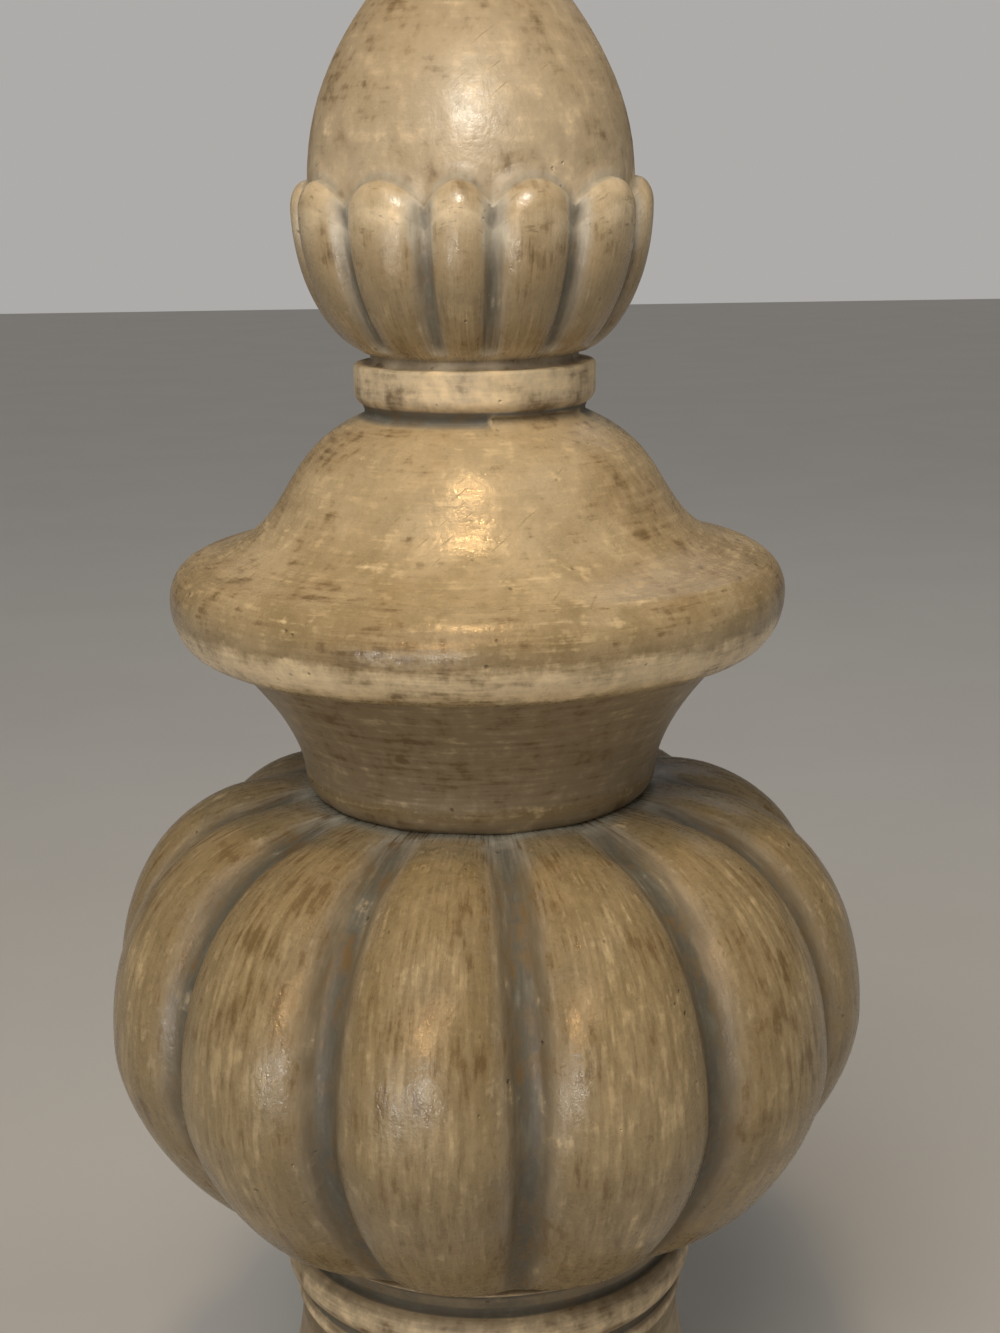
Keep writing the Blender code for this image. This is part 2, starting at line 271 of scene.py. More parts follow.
# Bell: an ogee from the brim's roll up to the groove under the collar. To the right of the mould's
# seam, a thin leak of resin fills that groove.
BELL_HEIGHT = 0.0405
BELL_SHOULDER_LEAN_DEG = 158.0
BELL_REACH = 0.50
BELL_STEPS = 30
COLLAR_RADIUS = 0.0354
COLLAR_UNDERCUT = 0.0030
COLLAR_FLASH = 0.0012
COLLAR_SEAM = math.radians(5.0)
COLLAR_FLASH_POWER = 80
BELL_GLAZE = 0.45
BELL_PALE = 0.30
BELL_WASH = 1.2
BELL_WASH_POWER = 60
bell_foot = (outline[-1]["radius"], outline[-1]["height"])
bell_top = (COLLAR_RADIUS - COLLAR_UNDERCUT, bell_foot[1] + BELL_HEIGHT)
reach = BELL_REACH * math.dist(bell_foot, bell_top)
lean_foot = math.radians(BRIM_UPPER_DEG + 90.0)
lean_top = math.radians(BELL_SHOULDER_LEAN_DEG)
handle_foot = (bell_foot[0] + reach * math.cos(lean_foot), bell_foot[1] + reach * math.sin(lean_foot))
handle_top = (bell_top[0] - reach * math.cos(lean_top), bell_top[1] - reach * math.sin(lean_top))
for step in range(1, BELL_STEPS + 1):
    t = step / BELL_STEPS
    weights = ((1 - t) ** 3, 3 * t * (1 - t) ** 2, 3 * t * t * (1 - t), t ** 3)
    corners = (bell_foot, handle_foot, handle_top, bell_top)
    radius, height = (sum(w * c[axis] for w, c in zip(weights, corners)) for axis in (0, 1))
    add_row(radius, height, flash=COLLAR_FLASH * t ** COLLAR_FLASH_POWER, seam=COLLAR_SEAM,
            glaze=BELL_GLAZE, wash=BELL_WASH * t ** BELL_WASH_POWER, pale=BELL_PALE * t)

# Collar: a small band, soft below and crisper above, with a short stem standing on it. It has the
# most of the pale paint, and its face is painted paler and rubbed as a painted highlight.
COLLAR_HEIGHT = 0.0133
COLLAR_GROOVE_HEIGHT = 0.0015
COLLAR_LOWER_ROUND = 0.0050
COLLAR_LOWER_DEG = -60.0
COLLAR_UPPER_ROUND = 0.0016
COLLAR_GROOVE_BACK = 0.0009
COLLAR_FACE_ROUNDS = 2.5
COLLAR_GLAZE = 0.4
COLLAR_FOOT_PALE = 0.4
# On the collar, the pale paint and the rubbing are also a painted highlight.
COLLAR_PALE_AND_HIGHLIGHT = 1.4
COLLAR_TOP_PALE = 1.0
COLLAR_LOWER_RUB = 0.6
COLLAR_RUB_AND_HIGHLIGHT = 0.8
COLLAR_TOP_RUB = 0.9
COLLAR_LOWER_STEPS = 6
COLLAR_UPPER_STEPS = 4
STEM_INSET = 0.0050
STEM_HEIGHT = 0.0015
STEM_FILLET = 0.0006
STEM_PALE = 1.3
level = bell_top[1] + COLLAR_GROOVE_HEIGHT
collar_foot_radius = COLLAR_RADIUS - COLLAR_LOWER_ROUND + COLLAR_LOWER_ROUND * math.cos(
    math.radians(COLLAR_LOWER_DEG))
collar_foot_level = level + COLLAR_LOWER_ROUND * (1.0 + math.sin(math.radians(COLLAR_LOWER_DEG)))
add_row(bell_top[0], bell_top[1] + COLLAR_GROOVE_BACK, flash=COLLAR_FLASH, seam=COLLAR_SEAM)
add_row(collar_foot_radius, collar_foot_level, pale=COLLAR_FOOT_PALE)
arc_rows(COLLAR_RADIUS - COLLAR_LOWER_ROUND, level + COLLAR_LOWER_ROUND, COLLAR_LOWER_ROUND,
         COLLAR_LOWER_DEG, 0.0, COLLAR_LOWER_STEPS, glaze=COLLAR_GLAZE, rub=COLLAR_LOWER_RUB,
         pale=COLLAR_PALE_AND_HIGHLIGHT)
level += COLLAR_HEIGHT
# The collar's face gets its painted highlight here.
for rounds in (COLLAR_FACE_ROUNDS, 1.0):
    add_row(COLLAR_RADIUS, level - rounds * COLLAR_UPPER_ROUND, glaze=COLLAR_GLAZE, rub=COLLAR_RUB_AND_HIGHLIGHT,
            pale=COLLAR_PALE_AND_HIGHLIGHT)
arc_rows(COLLAR_RADIUS - COLLAR_UPPER_ROUND, level - COLLAR_UPPER_ROUND, COLLAR_UPPER_ROUND,
         0.0, 90.0, COLLAR_UPPER_STEPS, rub=COLLAR_TOP_RUB, pale=COLLAR_TOP_PALE)
stem_radius = COLLAR_RADIUS - STEM_INSET
add_row(stem_radius + STEM_FILLET, level, pale=STEM_PALE)
add_row(stem_radius, level + STEM_FILLET, pale=STEM_PALE)
level += STEM_HEIGHT

# Calyx: a ring of twelve raised lobes that stand on the foot of the bud, and end in round arches.
# They were carved by eye, so those on the left are unevenly spaced.
CALYX_RADIUS = 0.0520
CALYX_RISE = 0.0415
CALYX_SWELL = 2.0
CALYX_POWER = 0.60
CALYX_RAISE = 0.0055
CALYX_GROOVE_FADE = 3.0
CALYX_GROOVE_POWER = 0.6
CALYX_SHOULDER = 0.0080
CALYX_ARCH = 0.0060
CALYX_GROOVE_FLOOR = 0.12
CALYX_TIP_GLAZE = 0.15
CALYX_GLAZE_RISE = 1.5
CALYX_TIP_PALE = 1.2
CALYX_TIP_FADE = 2.4
CALYX_FOOT_RISE = 8.0
CALYX_LEAST_PALE = 0.25
SHOULDER_GLAZE = 0.2
SHOULDER_PALE = 0.8
CALYX_STEPS = 32
SHOULDER_STEPS = 9
calyx_foot = level
calyx_level = level + CALYX_RISE
for step in range(CALYX_STEPS + 1):
    share = math.sin(0.5 * math.pi * (1.0 - step / CALYX_STEPS))
    radius = stem_radius + (CALYX_RADIUS - stem_radius) * swell(share, CALYX_SWELL, CALYX_POWER)
    cut = CALYX_RAISE * swell(share, CALYX_GROOVE_FADE, CALYX_GROOVE_POWER)
    add_row(radius, calyx_level - CALYX_RISE * share, cut, CALYX_ARCH * (1.0 - share) ** 3,
            CALYX_GROOVE_FLOOR * CALYX_RADIUS / radius, lobed=1.0,
            glaze=CALYX_TIP_GLAZE + (1.0 - CALYX_TIP_GLAZE) * min(1.0, CALYX_GLAZE_RISE * share),
            pale=max(CALYX_TIP_PALE - CALYX_TIP_FADE * share,
                     CALYX_FOOT_RISE * share - (CALYX_FOOT_RISE - 1.0), CALYX_LEAST_PALE))
bud_radius = CALYX_RADIUS - CALYX_RAISE
for step in range(1, SHOULDER_STEPS + 1):
    angle = 0.5 * math.pi * step / SHOULDER_STEPS
    add_row(bud_radius + CALYX_RAISE * math.cos(angle), calyx_level + CALYX_SHOULDER * math.sin(angle),
            CALYX_RAISE * math.cos(angle), CALYX_ARCH, CALYX_GROOVE_FLOOR,
            lobed=math.cos(angle), glaze=SHOULDER_GLAZE, pale=SHOULDER_PALE)
level = calyx_level + CALYX_SHOULDER

# Bud: it runs up from behind the arches to a blunt point. Its tip is above the picture's edge, and
# follows on from its sides.
BUD_HEIGHT = 0.0745
BUD_SWELL = 2.0
BUD_POWER = 0.92
BUD_WASH = 0.45
BUD_GLAZE = 0.3
BUD_PALE_FADE = 1.2
BUD_LEAST_PALE = 0.3
ARCH_REACH = 0.15
BUD_STEPS = 26
for step in range(1, BUD_STEPS + 1):
    share = math.sin(0.5 * math.pi * step / BUD_STEPS)
    add_row(bud_radius * swell(share, BUD_SWELL, BUD_POWER), level + BUD_HEIGHT * share,
            0.0, CALYX_ARCH * max(0.0, 1.0 - share / ARCH_REACH), wash=BUD_WASH, glaze=BUD_GLAZE,
            pale=max(BUD_LEAST_PALE, 1.0 - BUD_PALE_FADE * share))

# The outline becomes an open line of points. Each keeps its cutting sizes, the way out of the
# surface, its distance along the line, and how far the lobes have leant over to the calyx's.
line_mesh = bpy.data.meshes.new("outline")
line_mesh.from_pydata([(row["radius"], 0.0, row["height"]) for row in outline],
                      [(index, index + 1) for index in range(len(outline) - 1)], [])
travelled = 0.0
for index, row in enumerate(outline):
    before = outline[max(index - 1, 0)]
    after = outline[min(index + 1, len(outline) - 1)]
    run = after["radius"] - before["radius"]
    rise = after["height"] - before["height"]
    row["out"] = rise / math.hypot(run, rise)
    row["up"] = -run / math.hypot(run, rise)
    travelled += math.hypot(row["radius"] - before["radius"], row["height"] - before["height"])
    row["along"] = travelled
    row["lean"] = min(1.0, max(0.0, (row["height"] - melon_top) / (calyx_foot - melon_top)))
for name in outline[0]:
    attribute = line_mesh.attributes.new(name, "FLOAT", "POINT")
    attribute.data.foreach_set("value", [row[name] for row in outline])


class Bench:
    """A node tree on the bench, with one way to add a node to it."""

    def __init__(self, tree):
        self.tree = tree

    def node(self, kind, settings=None, sockets=None, output=0):
        """Adds a node, sets it, then fills or links its sockets, and gives the Wire of one output."""
        node = self.tree.nodes.new(kind)
        for name, value in (settings or {}).items():
            if name == "items":
                while len(node.index_switch_items) < value:
                    node.index_switch_items.new()
            else:
                setattr(node, name, value)
        for name, value in (sockets or {}).items():
            if isinstance(value, Wire):
                self.tree.links.new(value.socket, node.inputs[name])
            else:
                node.inputs[name].default_value = value
        return Wire(self, node.outputs[output] if node.outputs else None)

    def math(self, operation, *values):
        return self.node("ShaderNodeMath", {"operation": operation}, dict(enumerate(values)))

    def vector(self, operation, *values, output=0):
        return self.node("ShaderNodeVectorMath", {"operation": operation}, dict(enumerate(values)), output)


class Wire:
    """One socket of a node tree. Arithmetic on it adds the Math nodes that work it out."""

    def __init__(self, bench, socket):
        self.bench = bench
        self.socket = socket

    def also(self, output):
        """Another output of the same node."""
        return Wire(self.bench, self.socket.node.outputs[output])

    def rise(self, low, high):
        """0 below low, 1 above high, and a smooth step between them."""
        return self.bench.node("ShaderNodeMapRange", {"interpolation_type": "SMOOTHSTEP"},
                               {"Value": self, "From Min": low, "From Max": high})

    def __add__(self, other):
        return self.bench.math("ADD", self, other)

    def __sub__(self, other):
        return self.bench.math("SUBTRACT", self, other)

    def __rsub__(self, other):
        return self.bench.math("SUBTRACT", other, self)

    def __mul__(self, other):
        return self.bench.math("MULTIPLY", self, other)

    def __truediv__(self, other):
        return self.bench.math("DIVIDE", self, other)

    def __pow__(self, other):
        return self.bench.math("POWER", self, other)

    def __abs__(self):
        return self.bench.math("ABSOLUTE", self)

    __radd__ = __add__
    __rmul__ = __mul__


# The carving tree turns the outline round the axis, cuts the lobes, leans them, fills the joints
# with flash, and makes the surface as uneven as a hand-worked pattern.
LOBES = 12
COLUMNS_PER_LOBE = 28
CROWDING = 0.45
MELON_TURN_DEG = 6.0
CALYX_TURN_DEG = 11.0
CALYX_SHIFTS_DEG = (-4.2, -5.0, 0.5, 0.0, 0.0, 0.0, 0.0, 0.0, 0.0, 0.0, 2.7, 3.5)
FLOOR_SOFTNESS = 0.08
CHANNEL_FROM = 0.002
FLASH_EDGE_DEG = 4.0
FLASH_END_DEG = (55.0, 80.0)
WAVER = 0.0009
RIPPLE = 0.00022
WAVER_SCALE = 22.0
RIPPLE_SCALE = 130.0
DRUM_RADIUS = 0.1
FLAT_HEIGHT = 0.004
SAME_POINT = 0.000002
LEAST_FLASH = 0.00002
SEED = 7.0
HOLLOW_REACH = 8
DEEP_REACH = 40
tree = bpy.data.node_groups.new("carved_lathe", "GeometryNodeTree")
tree.is_modifier = True
INPUTS = (("Outline", "Geometry", None), ("Lobes", "Int", LOBES),
          ("Columns per Lobe", "Int", COLUMNS_PER_LOBE), ("Crowding", "Float", CROWDING),
          ("Melon Turn", "Float", math.radians(MELON_TURN_DEG)),
          ("Calyx Turn", "Float", math.radians(CALYX_TURN_DEG)),
          ("Waver", "Float", WAVER), ("Ripple", "Float", RIPPLE), ("Seed", "Float", SEED),
          ("Finish", "Material", None))
input_sockets = {}
for name, kind, value in INPUTS:
    input_sockets[name] = tree.interface.new_socket(name, in_out="INPUT", socket_type="NodeSocket" + kind)
tree.interface.new_socket("Casting", in_out="OUTPUT", socket_type="NodeSocketGeometry")
bench = Bench(tree)
given = bench.node("NodeGroupInput")
lobes = given.also("Lobes")
columns = lobes * given.also("Columns per Lobe")

rows = bench.node("GeometryNodeAttributeDomainSize", {"component": "MESH"}, {0: given}, "Point Count")
grid = bench.node("GeometryNodeMeshGrid", {}, {"Vertices X": rows, "Vertices Y": columns + 1.0})
index = bench.node("GeometryNodeInputIndex")
row_number = bench.math("FLOOR", (index + 0.5) / (columns + 1.0))
column = index - row_number * (columns + 1.0)


def on_row(name):
    """A value of the outline at this point's row."""
    stored = bench.node("GeometryNodeInputNamedAttribute", {"data_type": "FLOAT"}, {"Name": name})
    return bench.node("GeometryNodeSampleIndex", {"data_type": "FLOAT", "domain": "POINT"},
                      {"Geometry": given, "Value": stored, "Index": row_number})


def groove_shift(shifts_deg, groove):
    """How far a groove stands off its regular place."""
    sockets = {0: bench.math("FLOORED_MODULO", groove, lobes)}
    for number, shift in enumerate(shifts_deg):
        sockets[number + 1] = math.radians(shift)
    return bench.node("GeometryNodeIndexSwitch", {"data_type": "FLOAT", "items": len(shifts_deg)}, sockets)


# Share is the way from one groove to the next, with the columns crowded towards the grooves.
lobe_number = bench.math("FLOOR", (column + 0.5) / given.also("Columns per Lobe"))
spot = column / given.also("Columns per Lobe") - lobe_number
share = spot - bench.math("SINE", spot * math.tau) * given.also("Crowding") / math.tau
regular = (lobe_number + share) * bench.math("DIVIDE", math.tau, lobes)
shift_here = groove_shift(CALYX_SHIFTS_DEG, lobe_number)
shift_next = groove_shift(CALYX_SHIFTS_DEG, lobe_number + 1.0)
melon_azimuth = regular + given.also("Melon Turn")
calyx_azimuth = regular + given.also("Calyx Turn") + shift_here + share * (shift_next - shift_here)
azimuth = melon_azimuth + on_row("lean") * (calyx_azimuth - melon_azimuth)

# A lobe's cross-section is part of a circle, and rises softly out of the round floor of its groove.
floor_width = on_row("floor")
softness = floor_width * floor_width * FLOOR_SOFTNESS


def climb(distance):
    """How high a lobe stands at a distance from its groove, before the floor is taken off."""
    past_floor = distance - floor_width
    soft = (past_floor + (past_floor * past_floor + softness) ** 0.5) * 0.5
    to_crest = 1.0 - bench.math("MINIMUM", soft / (1.0 - floor_width), 1.0)
    return bench.math("MAXIMUM", 1.0 - to_crest * to_crest, 0.0) ** 0.5


from_groove = 1.0 - abs(share * 2.0 - 1.0)
at_floor = climb(floor_width * 0.0)
lobe_rise = (climb(from_groove) - at_floor) / (1.0 - at_floor)
channel = (1.0 - lobe_rise) * on_row("cut").rise(0.0, CHANNEL_FROM)
around = bench.math("WRAP", azimuth, math.pi, -math.pi)
right_of_seam = (around - on_row("seam")).rise(0.0, math.radians(FLASH_EDGE_DEG))
flash_fades = around.rise(math.radians(FLASH_END_DEG[0]), math.radians(FLASH_END_DEG[1]))
filled = on_row("flash") * right_of_seam * (1.0 - flash_fades)
depth = on_row("cut") * (1.0 - lobe_rise) - filled
arch = (share * 2.0 - 1.0) * (share * 2.0 - 1.0)
radius = on_row("radius") - on_row("out") * depth
height = on_row("height") - on_row("up") * depth - on_row("sink") * arch
sine = bench.math("SINE", azimuth)
cosine = bench.math("COSINE", azimuth)
place = bench.node("ShaderNodeCombineXYZ", {}, {0: radius * sine, 1: radius * cosine * -1.0, 2: height})
turned = bench.node("GeometryNodeSetPosition", {}, {"Geometry": grid, "Position": place})


def keep(geometry, name, kind, value):
    """Stores a value on the surface, for the finish to read."""
    return bench.node("GeometryNodeStoreNamedAttribute", {"data_type": kind, "domain": "POINT"},
                      {"Geometry": geometry, "Name": name, "Value": value})


drum = bench.node("ShaderNodeCombineXYZ", {}, {
    0: sine * DRUM_RADIUS, 1: cosine * -DRUM_RADIUS, 2: on_row("along")})
turned = keep(turned, "drum", "FLOAT_VECTOR", drum)
for name in ("lobed", "glaze", "wash", "rub", "pale"):
    turned = keep(turned, name, "FLOAT", on_row(name))
sealed = right_of_seam * (1.0 - flash_fades) * on_row("flash").rise(0.0, LEAST_FLASH)
turned = keep(turned, "sealed", "FLOAT", sealed)
turned = keep(turned, "channel", "FLOAT", channel)
closed = bench.node("GeometryNodeMergeByDistance", {}, {"Geometry": turned, "Distance": SAME_POINT})
closed = bench.node("GeometryNodeFlipFaces", {}, {"Mesh": closed})

# The surface only wavers inwards, so that the casting keeps its outer size. The foot stays flat.
here = bench.node("GeometryNodeInputPosition")
level_here = bench.node("ShaderNodeSeparateXYZ", {}, {0: here}, "Z")
outwards = bench.node("GeometryNodeInputNormal")
seeded = bench.node("ShaderNodeCombineXYZ", {}, {0: given.also("Seed")})


def uneven(scale, detail):
    """A number from about 0 to 1 that changes slowly over the surface."""
    moved = bench.vector("MULTIPLY_ADD", here, (scale, scale, scale), seeded)
    return bench.node("ShaderNodeTexNoise", {}, {"Vector": moved, "Scale": 1.0, "Detail": detail})


sunk = given.also("Waver") * uneven(WAVER_SCALE, 1.0) + given.also("Ripple") * uneven(RIPPLE_SCALE, 2.0)
sunk = sunk * level_here.rise(0.0, FLAT_HEIGHT)
offset = bench.node("ShaderNodeVectorMath", {"operation": "SCALE"}, {0: outwards, "Scale": sunk * -1.0})
worked = bench.node("GeometryNodeSetPosition", {}, {"Geometry": closed, "Offset": offset})

# Hollow is how far the surface lies under its own blurred form: paint settles where it is high,
# and wears off where it is low. Deep is the same over a wider reach, and the finish lays painted
# shade where it is high.
for name, reach in (("hollow", HOLLOW_REACH), ("deep", DEEP_REACH)):
    blurred = bench.node("GeometryNodeBlurAttribute", {"data_type": "FLOAT_VECTOR"},
                         {"Value": here, "Iterations": reach})
    away = bench.vector("SUBTRACT", blurred, here)
    worked = keep(worked, name, "FLOAT", bench.vector("DOT_PRODUCT", away, outwards, output="Value"))
smooth = bench.node("GeometryNodeSetShadeSmooth", {}, {"Geometry": worked})
whole = bench.node("GeometryNodeRealizeInstances", {}, {"Geometry": smooth})
painted = bench.node("GeometryNodeSetMaterial", {}, {"Geometry": whole, "Material": given.also("Finish")})
bench.node("NodeGroupOutput", {}, {0: painted})

# Distressed paint: tan over the whole casting, a brown glaze brushed on it, round the turned parts
# and along the lobes, a blue-grey wash in every hollow, and edges rubbed back to pale. Painted
# shade darkens the broad recesses and the melon's ends, and painted highlights lighten the collar's
# face and the middles of the lobes.
PALE_TAN = (0.57, 0.445, 0.27, 1.0)
TAN = (0.42, 0.305, 0.160, 1.0)
OCHRE = (0.27, 0.200, 0.098, 1.0)
BROWN_GLAZE = (0.125, 0.088, 0.038, 1.0)
WARM_BROWN = (0.165, 0.105, 0.045, 1.0)
# Cream is the pale paint, made lighter to be a painted highlight on the collar and calyx tops.
CREAM = (0.87, 0.73, 0.52, 1.0)
ASH_PINK = (0.36, 0.295, 0.215, 1.0)
PALE_ASH = (0.66, 0.62, 0.53, 1.0)
GREY_WASH_AND_SHADE = (0.130, 0.108, 0.072, 1.0)
BLUE_WASH = (0.085, 0.087, 0.075, 1.0)
JOINT_WASH = (0.40, 0.41, 0.37, 1.0)
WORN_AND_HIGHLIGHT = (0.92, 0.74, 0.48, 1.0)
PIT_BROWN = (0.055, 0.033, 0.015, 1.0)
OCHRE_PATCH_COVER = 0.55
OCHRE_GLAZE_COVER = 0.65
CREAM_COVER = 0.55
CREAM_PATCHINESS = 1.8
GLAZE_COVER = 0.62
RUBBED_COVER = 0.34
RUBBED_COVER_LESS_ON_LOBES = 0.16
RUBBED_COVER_LESS_ON_WASH = 0.6
DRY_BRUSH_AND_HIGHLIGHT_COVER = 0.30
ASH_COVER = 0.52
ASH_COVER_MORE_ON_PALE = 0.5
TURNED_ASH_COVER = 0.48
GREY_COVER = 0.85
GREY_COVER_LESS_ON_PALE = 0.25
BLUE_COVER = 0.72
BLUE_COVER_LESS_ON_PALE = 0.35
JOINT_COVER = 0.8
WORN_AND_HIGHLIGHT_COVER = 0.85
NICK_COVER = 0.5
WARM_COVER = 0.85
THIN_COAT_GAIN = 0.9
SCRATCH_COVER = 0.35
SCRATCH_SLANT_DEG = 38.0
PIT_COVER = 0.5
PAINT_ROUGHNESS = 0.30
WASH_ROUGHNESS = 0.30
BUMP_STRENGTH = 0.75
BUMP_DISTANCE = 0.0009
COAT_WEIGHT = 0.05
COAT_ROUGHNESS = 0.30
MM_PER_METRE = 1000.0
finish = bpy.data.materials.new("distressed_tan_paint")
finish.use_nodes = True
finish.node_tree.nodes.clear()
bench = Bench(finish.node_tree)
place = bench.node("ShaderNodeTexCoord", {}, {}, "Object")
drum = bench.node("ShaderNodeAttribute", {"attribute_name": "drum"}, {}, "Vector")
along = bench.node("ShaderNodeSeparateXYZ", {}, {0: drum}, "Z")
flat_place = bench.node("ShaderNodeSeparateXYZ", {}, {0: place}, "X")
ring_place = bench.node("ShaderNodeCombineXYZ", {}, {0: flat_place, 1: flat_place.also("Y"), 2: along})


def surface_value(name):
    """A number that the carving tree stored on the surface."""
    return bench.node("ShaderNodeAttribute", {"attribute_name": name}, {}, "Fac")


def noise(source, stretch, shift, detail=4.0, roughness=0.55):
    """Noise that is stretched by its three counts per metre."""
    moved = bench.vector("MULTIPLY_ADD", source, stretch, (shift, shift * 1.7, shift * 0.6))
    return bench.node("ShaderNodeTexNoise", {}, {
        "Vector": moved, "Scale": 1.0, "Detail": detail, "Roughness": roughness})


def blend(factor, below, above):
    """One colour laid over another."""
    return bench.node("ShaderNodeMix", {"data_type": "RGBA"}, {0: factor, 6: below, 7: above}, 2)


lobed = surface_value("lobed")
hollow = surface_value("hollow") * MM_PER_METRE
deep = surface_value("deep") * MM_PER_METRE
sealed = surface_value("sealed")
channel = surface_value("channel")
glazing_and_shade = surface_value("glaze")
wash = surface_value("wash")
rub = surface_value("rub")
pale = surface_value("pale")

cloud = noise(place, (26.0, 26.0, 30.0), shift=3.0)
patch = noise(place, (85.0, 85.0, 85.0), shift=11.0, detail=5.0, roughness=0.6)
fleck = noise(place, (240.0, 240.0, 170.0), shift=17.0)
speckle = noise(place, (620.0, 620.0, 620.0), shift=5.0, detail=3.0, roughness=0.6)
grain = noise(place, (1500.0, 1500.0, 1500.0), shift=1.0, detail=2.0)
ring_streak = noise(ring_place, (60.0, 60.0, 620.0), shift=2.0, roughness=0.6)
lobe_streak = noise(drum, (560.0, 560.0, 75.0), shift=8.0, detail=5.0, roughness=0.62)
streak = ring_streak + lobed * (lobe_streak - ring_streak)
brushed = streak * 0.26 + fleck * 0.30 + patch * 0.29 + cloud * 0.15

colour = blend(cloud.rise(0.38, 0.66), TAN, PALE_TAN)
colour = blend(patch.rise(0.42, 0.68) * OCHRE_PATCH_COVER, colour, OCHRE)
# Where the glaze is heavier, on the melon's ends, the darker ochre and brown are painted shade.
colour = blend(glazing_and_shade.rise(0.6, 1.0) * OCHRE_GLAZE_COVER, colour, OCHRE)
colour = blend(pale * (CREAM_COVER + (patch - 0.5) * CREAM_PATCHINESS), colour, CREAM)
glaze = brushed.rise(0.43, 0.57) * glazing_and_shade
colour = blend(glaze * GLAZE_COVER, colour, BROWN_GLAZE)

# The brush marks are rubbed back to the tan in spots, less on the lobes and on washed turnings. The
# crests of the lobes also have a dry brush of tan along them, which is also a painted highlight on
# their middles.
rubbed = (streak * 0.40 + fleck * 0.32 + speckle * 0.28).rise(0.50, 0.60)
rubbed_cover = RUBBED_COVER - lobed * RUBBED_COVER_LESS_ON_LOBES
washed_turning = wash.rise(0.2, 0.8) * (1.0 - lobed)
rubbed = rubbed * rubbed_cover * (1.0 - washed_turning * RUBBED_COVER_LESS_ON_WASH)
colour = blend(rubbed, colour, PALE_TAN)
# The lighter tan on the lobes' crests is dry brush and painted highlight.
crest = (1.0 - channel).rise(0.62, 1.0) * lobed * (1.0 - (glazing_and_shade - 1.0).rise(0.0, 0.45))
dry_brush_and_highlight = (streak * 0.45 + fleck * 0.20 + patch * 0.35).rise(0.40, 0.58)
colour = blend(crest * dry_brush_and_highlight * glazing_and_shade.rise(0.8, 1.0) * DRY_BRUSH_AND_HIGHLIGHT_COVER, colour, PALE_TAN)

# The wash lies deepest in the grooves, and thins out to ash beside them. In the joints it is a light
# grey line. Where the mould leaked, the groove is full and holds none. In broad recesses the grey
# is painted shade.
edge_break = (patch - 0.5) * 1.2 + (fleck - 0.5) * 0.8 + (speckle - 0.5) * 0.5
flank = channel + edge_break * 0.20
sealed = (sealed + edge_break * 1.2).rise(0.2, 0.8)
washing = wash * (1.0 - sealed)
ash = blend(pale.rise(0.0, 1.0), ASH_PINK, PALE_ASH)
ash_cover = ASH_COVER + pale * ASH_COVER_MORE_ON_PALE
colour = blend((flank + edge_break * 0.2).rise(0.25, 0.70) * washing * ash_cover, colour, ash)
colour = blend(washing.rise(0.1, 0.6) * (1.0 - lobed) * TURNED_ASH_COVER, colour, ASH_PINK)
# In broad recesses this grey is painted shade; in the channels it is wash.
grey = bench.math("MAXIMUM", flank.rise(0.45, 0.90), (deep + edge_break * 0.7).rise(1.0, 2.4))
grey_cover = GREY_COVER - pale * GREY_COVER_LESS_ON_PALE
colour = blend(grey * washing * grey_cover, colour, blend(pale * 0.6, GREY_WASH_AND_SHADE, PALE_ASH))
blue = bench.math("MAXIMUM", flank.rise(0.90, 1.02),
                  (hollow + edge_break * 0.12).rise(0.35, 0.9) * (1.0 - pale.rise(0.0, 1.0) * 0.85))
colour = blend(blue * washing * (BLUE_COVER - pale * BLUE_COVER_LESS_ON_PALE), colour, BLUE_WASH)
colour = blend(wash.rise(1.0, 1.7) * (1.0 - sealed) * JOINT_COVER, colour, JOINT_WASH)

# Edges are rubbed pale, and on the collar's face the rubbing is a painted highlight. The pale ends
# of the lobes have short brown nicks across them.
worn_and_highlight = (rub + edge_break * 0.6 + (patch - 0.5) * 0.8 + (streak - 0.5) * 0.6).rise(0.20, 1.10) * WORN_AND_HIGHLIGHT_COVER
colour = blend(worn_and_highlight, colour, WORN_AND_HIGHLIGHT)
nick = noise(ring_place, (220.0, 220.0, 620.0), shift=23.0, detail=3.0).rise(0.60, 0.70)
colour = blend(nick * lobed * pale.rise(0.3, 0.8) * (1.0 - channel) * NICK_COVER, colour, BROWN_GLAZE)

# Every coat is uneven: thin places are paler and thick ones a warmer brown.
uneven_coat = (fleck - 0.5) * (1.4 - lobed * 0.5) + (patch - 0.5) * (0.9 + glazing_and_shade * 0.8)
uneven_coat = uneven_coat + (streak - 0.5) * (0.15 + glazing_and_shade * 1.7) + (cloud - 0.5) * 0.8
uneven_coat = uneven_coat * (1.0 - worn_and_highlight * 0.6)
paler = bench.math("MAXIMUM", 1.0 + uneven_coat * THIN_COAT_GAIN, 1.0)
colour = bench.node("ShaderNodeVectorMath", {"operation": "SCALE"}, {0: colour, "Scale": paler})
colour = blend((uneven_coat * -1.0).rise(0.0, 0.60) * WARM_COVER, colour, WARM_BROWN)

